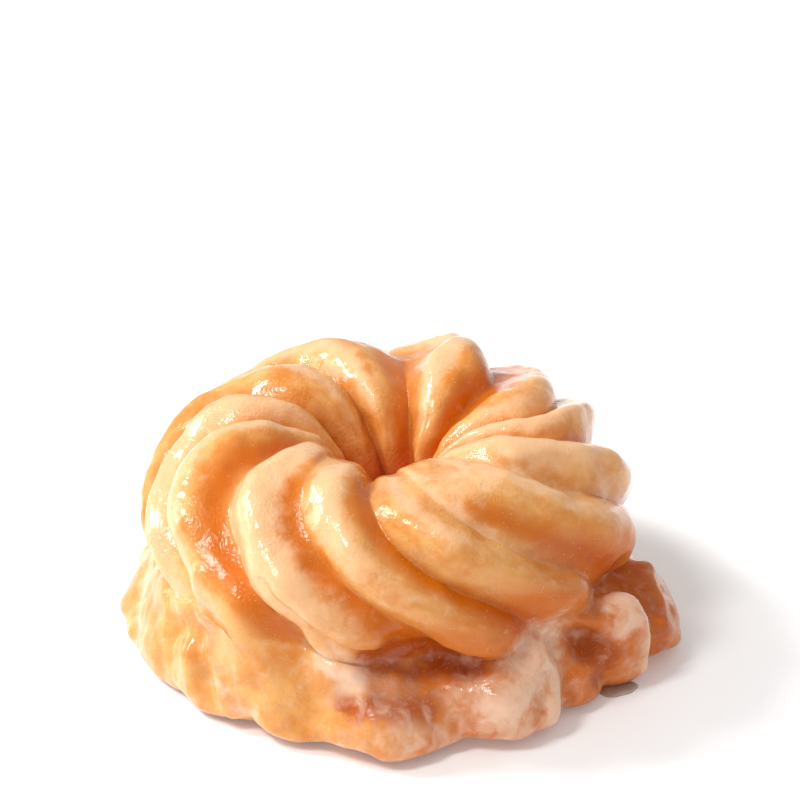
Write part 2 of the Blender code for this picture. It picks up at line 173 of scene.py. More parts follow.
# Ridges and dents that the hand and the hot fat left: width, height, and the points they run through,
# each from the ring's axis at the table
folds = {
    "pulledRidge": (1.5, 0.8, ((-29.5, -27.5, 24), (-28, -27.5, 13), (-27, -30.5, 7.5), (-24.5, -33, 3))),
    "pulledBody": (5.0, 1.4, ((-23.5, -32.5, 21), (-20.5, -33, 12.5), (-17, -37, 6))),
    "endCrease": (1.4, -0.8, ((-19.5, -35, 27), (-16, -37.5, 24), (-12, -39, 20))),
    "underLobe": (1.8, -1.4, ((-11, -39, 19), (-6, -38, 16.5), (1, -36.5, 14), (6.5, -36, 11.5))),
    "glazeKnob": (2.2, 2.3, ((-11.8, -36.5, 16.2), (-8.8, -37.5, 15.0), (-6, -38, 14.2))),
    "knobTail": (1.3, 1.6, ((-5.5, -38.3, 13.4), (-3.6, -39.5, 11))),
    "bulgeLip": (1.5, 1.3, ((8, -37, 11.8), (12, -36, 11.5), (17, -35, 11))),
    "frontCrevice": (3.0, -2.6, ((1.5, -38, 18), (5.5, -35, 15), (10.5, -34, 12.5))),
    "frontBulge": (5.0, 2.2, ((12, -37.5, 10), (16, -38, 7.5), (19, -37.5, 6))),
    "skirtBulge": (5.5, 1.6, ((-10.5, -40, 7.5), (-3.5, -42, 6.5), (3, -42, 5))),
    "curtain": (2.6, 1.8, ((24, -29, 15), (22.5, -29, 12.5), (20, -32.5, 9), (16.5, -36, 7))),
    "sideRidge": (1.8, 1.5, ((25.5, -29, 12), (25, -31, 8), (23.5, -34.5, 4))),
    "rightCrevice": (2.6, -2.6, ((25, -27.5, 13), (28, -26.5, 12.5), (31, -25.5, 12))),
    "tipRidge": (1.7, 2.0, ((34.2, -19.5, 15.5), (37, -19.5, 12), (39, -19, 7.5), (39.5, -20.5, 4))),
    "patchDent": (2.6, -1.2, ((30.5, -25, 10), (33.5, -24.5, 10), (33, -25, 5.5))),
    "sideTrough": (1.8, -2.2, ((34.5, -14.5, 18), (36, -13, 13), (37.5, -14.5, 10), (39, -17.5, 5))),
    "farRidge": (1.6, 1.6, ((40, -4, 11), (40.5, -10, 10.5), (41.5, -13, 7.5), (41, -15, 4.5))),
    "farTop": (2.4, 1.4, ((33.5, -5, 31), (35.5, -2, 28))),
    "leftLump": (4.0, 1.3, ((-36.5, -15, 12.5), (-37, -18, 8))),
    "leftCrease": (1.2, -1.0, ((-39, -4, 13), (-40, -9, 9), (-40, -14.5, 5))),
    "leftSmallLump": (2.8, 1.2, ((-31.5, -25.5, 10), (-30.5, -29, 6))),
    "leftDent": (2.4, -1.4, ((-30, -26, 13.5), (-33, -22, 12))),
    "ridgeFoot": (1.3, -1.2, ((-29.5, -26.5, 13), (-29.5, -27.5, 9.5), (-27.5, -32, 4.5))),
    "peak": (2.2, 0.9, ((9.5, 24, 39), (7, 15.5, 38.5), (6, 10, 35))),
    "shoulder": (4.0, -0.9, ((4, 27.5, 36), (6.5, 25.5, 37.5))),
}

# Runs and dents down the foot's sides and back: azimuth, width and height of each, then the points that
# every run goes through, as degrees from its azimuth, distance from the axis and height
backRuns = {
    "runs": (
        (12, 2.4, 1.2), (27, 2.2, -1.0), (41, 3.0, 1.3), (60, 2.6, -1.3), (76, 2.6, 1.5), (96, 3.2, 1.1),
        (112, 2.4, -1.2), (127, 2.4, 1.5), (144, 3.0, 0.9), (158, 2.2, -1.1), (170, 2.0, 1.1),
    ),
    "path": ((7, 38.5, 13.0), (0, 42.5, 8.0), (-4, 43.5, 3.0)),
}


def smoothStep(x):
    x = np.clip(x, 0, 1)
    return x * x * (3 - 2 * x)


def ease(x, start, end):        # 0 at start and 1 at end, eased between
    return smoothStep((x - start) / (end - start))


def smoothMax(a, b, blend):     # the larger of two, with the corner between them rounded
    share = np.clip(0.5 + 0.5 * (a - b) / blend, 0, 1)
    return b + (a - b) * share + blend * share * (1 - share)


def bump(azimuth, centre, halfWidth, most=1):   # most at the centre and 0 at halfWidth degrees either side
    away = (azimuth - centre + 180) % 360 - 180
    return most * np.clip(1 - (away / halfWidth) ** 2, 0, 1)


def pick(stack, index):         # one layer of a stack for each point
    return np.take_along_axis(stack, index[None], 0)[0]


# A cubic curve through points: each slope is read from a point's two neighbours
def curveThrough(x, positions, values):
    positions = np.stack([np.broadcast_to(p, x.shape) for p in positions]).astype(float)
    values = np.stack([np.broadcast_to(v, x.shape) for v in values]).astype(float)
    last = len(positions) - 1
    after = [min(k + 1, last) for k in range(last + 1)]
    before = [max(k - 1, 0) for k in range(last + 1)]
    slopes = (values[after] - values[before]) / (positions[after] - positions[before])
    index = sum((x >= positions[k]).astype(int) for k in range(1, last))
    start, length = pick(positions, index), pick(positions, index + 1) - pick(positions, index)
    t = np.clip((x - start) / length, 0, 1)
    ends = (1 + 2 * t) * (1 - t) ** 2 * pick(values, index) + t * t * (3 - 2 * t) * pick(values, index + 1)
    turns = t * (1 - t) ** 2 * pick(slopes, index) + t * t * (t - 1) * pick(slopes, index + 1)
    return ends + turns * length


# A table's value at any azimuth, eased from each station to the next
def roundTheRing(azimuth, stations, column):
    places = np.array([s[0] for s in stations] + [stations[0][0] + 360], float)
    values = np.array([s[column] for s in stations] + [stations[0][column]], float)
    turned = (azimuth - places[0]) % 360 + places[0]
    index = np.clip(np.searchsorted(places, turned, side="right") - 1, 0, len(stations) - 1)
    t = smoothStep((turned - places[index]) / (places[index + 1] - places[index]))
    return values[index] + (values[index + 1] - values[index]) * t


# Value noise: random heights at the corners of a cubic lattice, eased along each edge, from -1 to 1.
# A corner's height is mixed from its three numbers and the seed.
def valueNoise(points, size, seed):
    place = points / size
    corner = np.floor(place).astype(np.int64)
    x, y, z = np.moveaxis(smoothStep(place - corner), -1, 0)
    total = 0.0
    for k in range(8):
        step = np.array((k & 1, k >> 1 & 1, k >> 2 & 1))
        i, j, l = np.moveaxis(corner + step, -1, 0)
        mixed = (i * 374761393 + j * 668265263 + l * 2147483647 + seed * 974634777) & 0xFFFFFFFF
        mixed = ((mixed ^ (mixed >> 13)) * 1274126177) & 0xFFFFFFFF
        height = ((mixed ^ (mixed >> 16)) & 0xFFFF) / 0x7FFF - 1
        weight = (x if step[0] else 1 - x) * (y if step[1] else 1 - y) * (z if step[2] else 1 - z)
        total = total + weight * height
    return total


# Strokes for runs of glaze: each goes from under the lobes' ends down the foot, a little against the swirl
def runsDown(runs, strengthen=1.0):
    strokes = {}
    for azimuth, width, height in runs:
        line = []
        for turned, out, up in backRuns["path"]:
            angle = math.radians(azimuth + turned)
            line.append((out * math.cos(angle), out * math.sin(angle), up))
        strokes[azimuth] = (width, height * strengthen, line)
    return strokes


# Sum of soft strokes: each is its height at its line, falling off as a bell over its width
def strokeField(points, strokes):
    total = np.zeros(points.shape[:-1])
    for width, height, line in strokes.values():
        nearest = np.full(points.shape[:-1], np.inf)
        line = np.array(line, float)
        for start, end in zip(line[:-1], line[1:]):
            along = np.clip((points - start) @ (end - start) / ((end - start) @ (end - start)), 0, 1)
            away = points - start - along[..., None] * (end - start)
            nearest = np.minimum(nearest, (away ** 2).sum(-1))
        total += height * np.exp(-nearest / width ** 2)
    return total


# Azimuth of every crease at a section angle: it trails the swirl outside and leads it into the hole
def creaseAzimuths(angle):
    outward = np.clip((90 - angle) / 90, 0, None)
    start, length = swirl["fadeStart"], swirl["fadeLength"]
    faded = start + length * (1 - np.exp(-np.maximum(outward - start, 0) / length))
    outward = np.minimum(outward, faded)
    inward = np.clip((angle - 90) / 90, 0, swirl["holeReach"]) ** swirl["holeCurve"]
    paths = [row[0] + row[1] * outward ** row[2] - row[5] * inward for row in swirl["rows"]]
    return np.stack(paths + [paths[0] + 360])


# Height of the swirl over the core: each lobe is a rounded ridge between two creases. Also gives where a
# point is across its lobe, from -1 to 1, and how far below the lobe's crest.
def lobeHeight(azimuth, angle):
    rows = np.array(swirl["rows"])
    count = len(rows)
    paths = creaseAzimuths(angle)
    turned = (azimuth - paths[0]) % 360 + paths[0]
    lobe = sum((turned >= paths[k]).astype(int) for k in range(1, count))
    left, right = pick(paths, lobe), pick(paths, lobe + 1)
    across = 2 * (turned - left) / (right - left) - 1
    outside = ease(angle, *swirl["outsideSpan"])
    lower = ease(angle, *swirl["creaseSpan"])
    softly = ease(angle, *swirl["softSpan"])

    def heightOf(k):
        swell = 1 + sum(share * np.sin(rate * angle + start * k) for share, rate, start in swirl["swells"])
        return (rows[k, 7] + (rows[k, 6] - rows[k, 7]) * outside) * swell

    def depthOf(k):
        return rows[k, 3] + (rows[k, 4] - rows[k, 3]) * lower

    here = heightOf(lobe)
    leftFloor = (here + heightOf((lobe - 1) % count)) / 2 * (1 - depthOf(lobe))
    rightFloor = (here + heightOf((lobe + 1) % count)) / 2 * (1 - depthOf((lobe + 1) % count))
    floor = leftFloor + (rightFloor - leftFloor) * smoothStep((across + 1) / 2)
    leaning = rows[lobe, 8] + roundTheRing(azimuth, swirl["leans"], 1) * softly
    lean = np.clip(across + leaning * (1 - across ** 2), -1, 1)
    outerPower, innerPower = swirl["roundness"]
    profile = (1 - np.abs(lean) ** outerPower) ** innerPower
    profile = profile + (0.5 + 0.5 * np.cos(np.pi * lean) - profile) * swirl["soft"] * softly
    filled = smoothMax(profile, np.full(profile.shape, swirl["creaseFill"]), swirl["fillBlend"])
    height = floor + (here - floor) * filled
    merged = bump(azimuth, *swirl["merged"]) * ease(angle, *swirl["mergedSpan"])
    height = height + (swirl["evenHeight"] - height) * merged
    return height, {"across": lean, "depth": (here - height) * (1 - merged), "lobe": lobe}


# A point's distance from the ring's axis and its height: the core's radius and the lobe's height over it
def onTube(azimuth, angle):
    core = curveThrough(angle, ring["coreAngles"], ring["coreRadii"])
    relief = curveThrough(angle, ring["reliefAngles"], ring["reliefShares"])
    drawn = bump(azimuth, *ring["drawnIn"]) * ease(angle, *ring["drawnInSpan"])
    radius = core + relief * lobeHeight(azimuth, angle)[0] - drawn
    turned = np.radians(angle)
    return ring["radius"] + radius * np.cos(turned), ring["height"] + radius * np.sin(turned)


# The foot's reach: rounded lumps that meet in soft creases
def footReach(azimuth):
    reach = np.full(azimuth.shape, -1e9)
    for centre, halfWidth, lumpReach in foot["lumps"]:
        away = (azimuth - centre + 180) % 360 - 180
        reach = smoothMax(reach, lumpReach - foot["lumpDepth"] * (away / halfWidth) ** 2, foot["lumpBlend"])
    return reach


# The lower part of the section: a curve through the foot, the crease under the lobes' ends, and the ends.
# The foot's lumps are strong at the table and evened out above, where the lobes' relief runs on into them.
def footSection(azimuth, angle, waist):
    slanted = azimuth + foot["slant"] * np.interp(angle, foot["slantSpan"], (0, 1))
    reach = footReach(slanted)
    calm = sum(footReach(slanted + step) for step in foot["calmSteps"]) / len(foot["calmSteps"])
    slope = roundTheRing(azimuth, foot["waist"], 3)
    lift = sum(height * bump(azimuth, centre, halfWidth) ** 2 for centre, halfWidth, height in foot["lifts"])
    outs = [reach + (calm - reach) * share - inset - slope * further
            for share, inset, further in zip(foot["calm"], foot["insets"], foot["slopes"])]
    ups = [height + lift * share for height, share in zip(foot["heights"], foot["liftShares"])]
    endOut, endUp = onTube(azimuth, waist)
    creaseOut = np.minimum(endOut, reach - foot["creaseInset"]) - roundTheRing(azimuth, foot["waist"], 2)
    creaseUp = endUp - foot["creaseDrop"]
    outShare, outSlope = foot["shelfOut"]
    upShare, upSlope = foot["shelfUp"]
    outs += [creaseOut + (outs[-1] - creaseOut) * (outShare + outSlope * slope), creaseOut, endOut]
    ups += [creaseUp + (ups[-1] - creaseUp) * (upShare + upSlope * slope), creaseUp, endUp]
    angles = list(foot["angles"]) + [waist - foot["shelfBelow"], waist - foot["creaseBelow"], waist]
    ridges = foot["carried"] * (lobeHeight(azimuth, angle)[0] - swirl["evenHeight"])
    ridges = ridges * ease(angle - waist, *foot["carriedBelow"]) * ease(angle, *foot["carriedSpan"])
    return curveThrough(angle, angles, outs) + ridges, curveThrough(angle, angles, ups)


# From the foot of the hole's wall down to the table, on a quarter sine, and out to the inside of the foot
def underside(azimuth, angle):
    share = np.clip((angle - foot["holeFoot"]) / (foot["undersideEnd"] - foot["holeFoot"]), 0, 1)
    startOut, startUp = onTube(azimuth, np.full(angle.shape, float(foot["holeFoot"])))
    endOut = footReach(azimuth) - foot["insets"][0]
    settled = np.clip(share * foot["settling"], 0, 1)
    return startOut + (endOut - startOut) * share, startUp * (1 - np.sin(settled * np.pi / 2))


# Section angle of each ring of the mesh, close together round the foot and the waist
def sectionAngles(share, waist):
    wall, under = grid["wallSteps"], grid["undersideSteps"]
    holeFoot, end = foot["holeFoot"], foot["undersideEnd"]
    stops = list(foot["angles"]) + [waist - below for below in grid["waistSteps"]]
    stops += [waist + (90 - waist) * k / wall for k in range(1, wall + 1)]
    stops += [90 + (holeFoot - 90) * k / wall for k in range(1, wall + 1)]
    stops += [holeFoot + (end - holeFoot) * k / under for k in range(1, under + 1)]
    stops = np.stack([np.broadcast_to(s, share.shape) for s in stops]).astype(float)
    place = share * (len(stops) - 1)
    index = np.clip(place.astype(int), 0, len(stops) - 2)
    before, after = pick(stops, index), pick(stops, index + 1)
    return before + (after - before) * (place - index)


# The mesh's columns follow the creases, and turn back to the foot's columns on the underside
def columnAzimuths(column, angle):
    lobe = np.clip(column.astype(int), 0, len(swirl["rows"]) - 1)
    across = column - lobe
    eased = across - grid["crowding"] * np.sin(4 * np.pi * across)

    def at(place):
        paths = creaseAzimuths(place)
        return pick(paths, lobe) + (pick(paths, lobe + 1) - pick(paths, lobe)) * eased

    turnedBack = ease(angle, grid["turnBack"], foot["undersideEnd"])
    atFoot = at(np.full(angle.shape, float(foot["angles"][0])))
    return at(angle) + (atFoot - at(angle)) * turnedBack


# Points of the surface on a grid of columns round the ring and rings round the tube: the foot's curve below
# the waist, the underside past the hole's foot, and the swirl on its tube between them
def crullerGrid(columns, rings):
    column, share = np.meshgrid(np.arange(columns) / columns * len(swirl["rows"]),
                                np.arange(rings) / rings, indexing="ij")
    azimuth = columnAzimuths(column, np.zeros(column.shape))
    for _ in range(grid["waistPasses"]):
        waist = roundTheRing(azimuth, foot["waist"], 1)
        angle = sectionAngles(share, waist)
        azimuth = columnAzimuths(column, angle)
    out, up = onTube(azimuth, angle)
    footOut, footUp = footSection(azimuth, angle, waist)
    underOut, underUp = underside(azimuth, angle)
    below, under = angle < waist, angle > foot["holeFoot"]
    out = np.where(below, footOut, np.where(under, underOut, out))
    up = np.maximum(np.where(below, footUp, np.where(under, underUp, up)), 0)
    end = foot["undersideEnd"]
    inner = ease(angle, *ring["holeShiftSpan"]) * ease(angle, end, end - ring["holeShiftEnd"])
    shift = (ring["holeShift"] - ring["crownShift"]) * inner
    shift = shift + ring["crownShift"] * ease(up, *ring["crownShiftSpan"])
    turned = np.radians(azimuth)
    points = np.stack([out * np.cos(turned) + shift, out * np.sin(turned), up], -1)
    return points, {"azimuth": azimuth, "angle": angle, "waist": waist, **lobeHeight(azimuth, angle)[1]}


# Outward normals of a grid that closes both ways, by the cross product of its two directions
def gridNormals(points):
    alongRing = np.roll(points, -1, 0) - np.roll(points, 1, 0)
    roundTube = np.roll(points, -1, 1) - np.roll(points, 1, 1)
    normals = np.cross(alongRing, roundTube)
    return normals / np.maximum(np.linalg.norm(normals, axis=-1, keepdims=True), 1e-9)


# Moves each point towards the middle of its four neighbours, by its own share, a few times over
def soften(points, share, rounds):
    for _ in range(rounds):
        middle = sum(np.roll(points, step, axis) for step in (-1, 1) for axis in (0, 1)) / 4
        points = points + (middle - points) * share[..., None]
    return points


# The pastry's skin: the swirl and foot, softened, pushed in and out along their normals by the folds and the
# dough's unevenness, then softened again where the lobes' ends meet the foot
def crullerSurface():
    points, fields = crullerGrid(grid["columnsPerLobe"] * len(swirl["rows"]), grid["rings"])
    angle, fromWaist = fields["angle"], fields["angle"] - fields["waist"]
    rounds, below, above = skin["ends"]
    points = soften(points, skin["melt"] * ease(angle, *below) * ease(fromWaist, *above), rounds)
    rounds, heights = skin["overall"]
    points = soften(points, skin["melt"] * ease(points[..., 2], *heights), rounds)
    free = ease(points[..., 2], *skin["freeSpan"])
    onFoot = ease(fromWaist, *skin["footSpan"])
    relief = strokeField(points, {**folds, **runsDown(backRuns["runs"])})
    overallSeed, footSeed = skin["seeds"]
    for k, (height, size) in enumerate(skin["unevenness"]):
        relief = relief + height * valueNoise(points, size, overallSeed + k)
    for k, (height, size) in enumerate(skin["footUnevenness"]):
        relief = relief + onFoot * height * valueNoise(points, size, footSeed + k)
    moved = points + gridNormals(points) * (relief * free)[..., None]
    rounds, share, near = skin["again"]
    moved = soften(moved, share * ease(np.abs(fromWaist), *near) * free, rounds)
    for centre, halfWidth, rounds in skin["sealed"]:
        closed = bump(fields["azimuth"], centre, halfWidth) * ease(np.abs(fromWaist), *skin["sealedSpan"])
        moved = soften(moved, skin["melt"] * closed, rounds)
    moved[..., 2] = np.maximum(moved[..., 2], 0)
    return moved, {**fields, "onFoot": onFoot, "before": points}


# A mesh object from a grid of points that closes both ways: each point is a corner of four quads
def gridObject(name, points, attributes):
    columns, rings = points.shape[:2]
    index = np.arange(columns * rings).reshape(columns, rings)
    right, above = np.roll(index, -1, 0), np.roll(index, -1, 1)
    corner = np.roll(right, -1, 1)
    quads = np.stack([index, right, corner, above], -1).reshape(-1, 4)
    mesh = bpy.data.meshes.new(name)
    mesh.vertices.add(columns * rings)
    mesh.vertices.foreach_set("co", (points * mm).ravel())
    mesh.loops.add(quads.size)
    mesh.loops.foreach_set("vertex_index", quads.ravel())
    mesh.polygons.add(len(quads))
    mesh.polygons.foreach_set("loop_start", np.arange(0, quads.size, 4))
    mesh.update(calc_edges=True)
    mesh.shade_smooth()
    for key, values in attributes.items():
        attribute = mesh.attributes.new(key, "FLOAT", "POINT")
        attribute.data.foreach_set("value", values.ravel().astype(np.float32))
    thing = bpy.data.objects.new(name, mesh)
    bpy.context.scene.collection.objects.link(thing)
    return thing


def linearColour(hexCode):      # sRGB hex to the linear values that shaders use
    parts = [int(hexCode[k:k + 2], 16) / 255 for k in (1, 3, 5)]
    return [p / 12.92 if p <= 0.04045 else ((p + 0.055) / 1.055) ** 2.4 for p in parts] + [1]


def socketOf(sockets, key):     # a socket by its number or its identifier
    return sockets[key] if isinstance(key, int) else next(s for s in sockets if s.identifier == key)


# Adds a node. Each input is a value, a hex colour, or "node/output" for a link from a node added before
def addNode(tree, name, kind, settings, inputs):
    node = tree.nodes.new("ShaderNode" + kind)
    node.name = name
    for key, value in settings.items():
        setattr(node, key, value)
    for key, value in inputs.items():
        socket = socketOf(node.inputs, key)
        if isinstance(value, str) and not value.startswith("#"):
            source, output = value.split("/")
            tree.links.new(socketOf(tree.nodes[source].outputs, output), socket)
        else:
            socket.default_value = linearColour(value) if isinstance(value, str) else value


# A material from a list of nodes, with name, kind, settings and inputs of each, and its shader's inputs
def makeMaterial(name, nodes, shader):
    material = bpy.data.materials.new(name)
    material.use_nodes = True
    material.node_tree.nodes.clear()
    for node in (("place", "TexCoord", {}, {}), *nodes, ("Principled BSDF", "BsdfPrincipled", {}, shader),
                 ("Material Output", "OutputMaterial", {}, {"Surface": "Principled BSDF/BSDF"})):
        addNode(material.node_tree, *node)
    return material


glaze = {
    "crustGold": "#ECAE66",     # fried choux where the glaze is thin and clear
    "crustOrange": "#DB8632",
    # crust in the painted shade low down on the right
    "crustInShade": "#CE661C",
    "hollowShadeBrown": "#B4500E",     # painted shade in the dents and crevices, under the lobes' ends and on the shaded right, in browned crust's colour
    "creaseOrange": "#D06A02",  # seen through the thicker glaze that runs in the creases, and deepened there as painted shade
    "creaseInShade": "#BA4E08",     # and in the creases low down on the right, as painted shade
    # painted shade deep in the hole
    "holeShade": "#E27838",
    "film": "#F6C393",          # dried glaze on the ridges, and a painted sheen where it is paler on the flanks facing the key light
    "pooled": "#F2CCAE",        # milky glaze that has run down and set
    "edgeBrown": "#B8642E",     # the fried edge along the table
    "speckWhite": "#FFE6C4",
    "speck": 0.8,               # from one sugar speck to the next
    # size, detail, roughness and distortion
    "noises": {
        "patch": (6.0, 4.0, 0.6, 0.4),          # patches where glaze lies thick or thin
        "mottle": (2.6, 4.0, 0.56, 0.5),
        "speckGroups": (4.0, 2.0, 0.55, 0.0),   # where sugar specks gather
        "orangePeel": (0.5, 2.0, 0.5, 0.0),     # the fine ripple of set glaze
        "rippled": (5.0, 2.0, 0.55, 0.0),       # where it is strong
    },
    "streaks": (4.0, 0.6),      # detail and roughness of the streaks that run along each lobe
    # fields whose edge the mottle breaks up, and how far
    "brokenEdges": {"crestEdge": ("crest", 1.2), "brownEdge": ("brown", 1.4), "poolEdge": ("pool", 1.7)},
    # each amount is eased from a source: where that starts and is whole, and the amounts there
    "amounts": {
        "filmCover": ("crestEdge/Value", 0.12, 1.0, 0.0, 0.85),     # how much of the crust is hidden
        "bareCover": ("brownEdge/Value", 0.3, 0.75, 0.0, 1.0),
        "poolCover": ("poolEdge/Value", 0.12, 1.15, 0.0, 0.85),
        "orangeShare": ("mean/Value", 0.38, 0.64, 0.0, 1.0),        # of the two crust colours
        "dots": ("specks/Distance", 0.15, 0.06, 0.0, 1.0),
        "dusting": ("speckGroups/Fac", 0.42, 0.6, 0.0, 0.65),
        "rippling": ("rippled/Fac", 0.4, 0.6, 0.35, 1.0),
        "rough": ("patch/Fac", 0.3, 0.7, 0.30, 0.44),
        "wet": ("dry/Value", 0.1, 0.9, 1.0, 0.25),      # the coat, weaker under the painted shade low on the right, and whole where glaze has pooled
    },
    "rippleDepths": {"baseBump": 0.16, "coatBump": 0.085},
    "coatRoughness": 0.06,
    "coatIor": 1.38,
    "ior": 1.49,
    "specular": 0.1,            # the coat carries the gloss, so the crust under it has little of its own
    "glow": (0.15, (1.0, 0.45, 0.15), 2.0),     # share, colour and reach of light scattered inside
}


# Sugar glaze over fried choux: dipped while hot, so a thin film that is clear and wet in the creases and
# milky on the ridges. A sharp coat over a softer base, a fine orange-peel ripple, and gold crust under it.
# Shade is painted into its colour in the creases, the dents, the hole and low on the right, and light on the
# lit flanks
def glazedDough():
    nodes = []
    for field in ("crest", "groove", "hole", "pool", "brown", "low", "edge", "lane", "along", "lobe"):
        nodes.append((field, "Attribute", {"attribute_name": field}, {}))
    for name, (size, detail, roughness, distortion) in glaze["noises"].items():
        nodes.append((name, "TexNoise", {}, {
            "Scale": 1 / (size * mm), "Detail": detail, "Roughness": roughness, "Distortion": distortion,
            "Vector": "place/Object"}))
    nodes.append(("mottled", "Math", {"operation": "SUBTRACT"}, {0: "mottle/Fac", 1: 0.5}))
    for name, (field, reach) in glaze["brokenEdges"].items():
        nodes.append((name, "Math", {"operation": "MULTIPLY_ADD"}, {
            0: "mottled/Value", 1: reach, 2: field + "/Fac"}))
    streakDetail, streakRoughness = glaze["streaks"]
    nodes += [
        ("lanes", "CombineXYZ", {}, {"X": "lane/Fac", "Y": "along/Fac", "Z": "lobe/Fac"}),
        ("streak", "TexNoise", {}, {
            "Scale": 1.0, "Detail": streakDetail, "Roughness": streakRoughness, "Vector": "lanes/Vector"}),
        ("both", "Math", {"operation": "ADD"}, {0: "patch/Fac", 1: "streak/Fac"}),
        ("mean", "Math", {"operation": "MULTIPLY"}, {0: "both/Value", 1: 0.5}),
        ("specks", "TexVoronoi", {}, {"Scale": 1 / (glaze["speck"] * mm), "Vector": "place/Object"}),
        ("dry", "Math", {"operation": "SUBTRACT"}, {0: "low/Fac", 1: "pool/Fac"}),
    ]
    for name, (source, start, whole, least, most) in glaze["amounts"].items():
        nodes.append((name, "MapRange", {"interpolation_type": "SMOOTHSTEP"}, {
            "Value": source, "From Min": start, "From Max": whole, "To Min": least, "To Max": most}))
    nodes.append(("sugar", "Math", {"operation": "MULTIPLY"}, {0: "dots/Result", 1: "dusting/Result"}))
    # each layer is a share of one colour over another, where a colour is of the glaze or an earlier layer
    for name, share, *colours in (
            ("crust", "orangeShare/Result", "crustGold", "crustOrange"),
            # the next layers paint shade: redder creases and browner crust low on the right, deeper creases,
            # dark dents, the hole
            ("crease", "low/Fac", "creaseOrange", "creaseInShade"),
            ("shadedCrust", "low/Fac", "crust", "crustInShade"),
            ("creased", "groove/Fac", "shadedCrust", "crease"),
            ("filmed", "filmCover/Result", "creased", "film"),
            ("hollowShaded", "bareCover/Result", "filmed", "hollowShadeBrown"),
            ("veiled", "poolCover/Result", "hollowShaded", "pooled"),
            ("holeShaded", "hole/Fac", "veiled", "holeShade"),
            ("edged", "edge/Fac", "holeShaded", "edgeBrown"),
            ("sugared", "sugar/Value", "edged", "speckWhite")):
        under, over = (glaze.get(colour, colour + "/Result_Color") for colour in colours)
        nodes.append((name, "Mix", {"data_type": "RGBA"}, {
            "Factor_Float": share, "A_Color": under, "B_Color": over}))
    nodes.append(("ripple", "Math", {"operation": "ADD"}, {0: "orangePeel/Fac", 1: "sugar/Value"}))
    for name, depth in glaze["rippleDepths"].items():
        nodes.append((name, "Bump", {}, {
            "Distance": depth * mm, "Height": "ripple/Value", "Strength": "rippling/Result"}))
    glowShare, glowColour, glowReach = glaze["glow"]
    return makeMaterial("sugarGlazedChoux", nodes, {
        "Base Color": "sugared/Result_Color", "Roughness": "rough/Result", "Normal": "baseBump/Normal",
        "IOR": glaze["ior"], "Specular IOR Level": glaze["specular"], "Coat Normal": "coatBump/Normal",
        "Coat Weight": "wet/Result", "Coat Roughness": glaze["coatRoughness"], "Coat IOR": glaze["coatIor"],
        "Subsurface Weight": glowShare, "Subsurface Radius": glowColour, "Subsurface Scale": glowReach * mm})


# For each lobe: where across it the film is milkiest, from -1 to 1, and how far it reaches either side,
# how much film bridges the crease before the lobe, and how much covers its crown
milkySides = (
    (-0.25, 0.95, 0, 0), (-0.15, 0.5, 0, 0), (0.05, 0.28, 0, 0.4), (0.35, 0.4, 0.75, 0.75),
    (0.0, 0.8, 0.6, 0.6), (0.0, 0.65, 0, 0), (-0.4, 0.25, 0, 0), (0.35, 0.35, 0, 0),
    (0.3, 0.3, 0, 0), (-0.2, 0.25, 0, 0), (0.35, 0.45, 0, 0), (-0.12, 0.3, 0, 0),
)

pools = {                       # where milky glaze has gathered: width, strength and line
    "knob": (2.2, 1.4, ((-11.8, -36.5, 16), (-8.8, -37.5, 14.8), (-6.5, -38, 14), (-6, -38.6, 12.5))),
    "skirt": (4.0, 0.15, ((-9, -41, 4), (-2, -43, 3))),
    "skirtEdge": (3.0, 0.3, ((3, -43, 4), (9, -41.5, 3))),
    "front": (3.6, 0.55, ((11, -37, 9), (17, -37, 4))),
    "curtain": (2.1, 0.75, ((26, -28, 17), (23, -29, 12.5), (20, -32.5, 9), (16.5, -36, 7))),
    "lobeEnd": (2.4, 0.7, ((22, -30.5, 16), (18.5, -33, 13.5))),
    "side": (2.0, 0.8, folds["sideRidge"][2]),
    "tipRim": (1.6, 0.8, ((31, -21, 17.5), (34.7, -22.1, 15.1), (36, -23, 12))),
    "tip": (1.7, 0.7, folds["tipRidge"][2]),
    "pulled": (1.6, 0.4, ((-28, -28, 18), (-27.7, -27.3, 11), (-24.7, -32.3, 5), (-21.5, -34.5, 4))),
    "leftRim": (2.0, 0.6, ((-40, -2.5, 10), (-40.5, -7.5, 7), (-40.5, -12.5, 5))),
}

hollowShade = {                        # painted shade in the dents and crevices, under the lobes' ends and on the shaded right: width, strength and line
    "right": (2.8, 1.0, ((30, -26, 10), (33.5, -23.5, 8), (32, -25.5, 5.5))),
    "dent": (2.4, 1.2, ((25.5, -24.5, 12.5), (29.5, -23.5, 11.5))),
    "under": (3.2, 1.1, ((-3, -37.5, 15.5), (0, -37, 15), (6, -35, 14), (12, -33, 12))),
    "front": (1.8, 0.7, ((16.5, -38, 9.5), (18.5, -38.5, 5))),
    "belowKnob": (3.2, 0.9, ((-6, -40, 9), (0, -40.5, 8.5), (5, -39.5, 8))),
    "far": (4.0, 0.6, ((41, -13, 9), (43, -15, 5))),
}

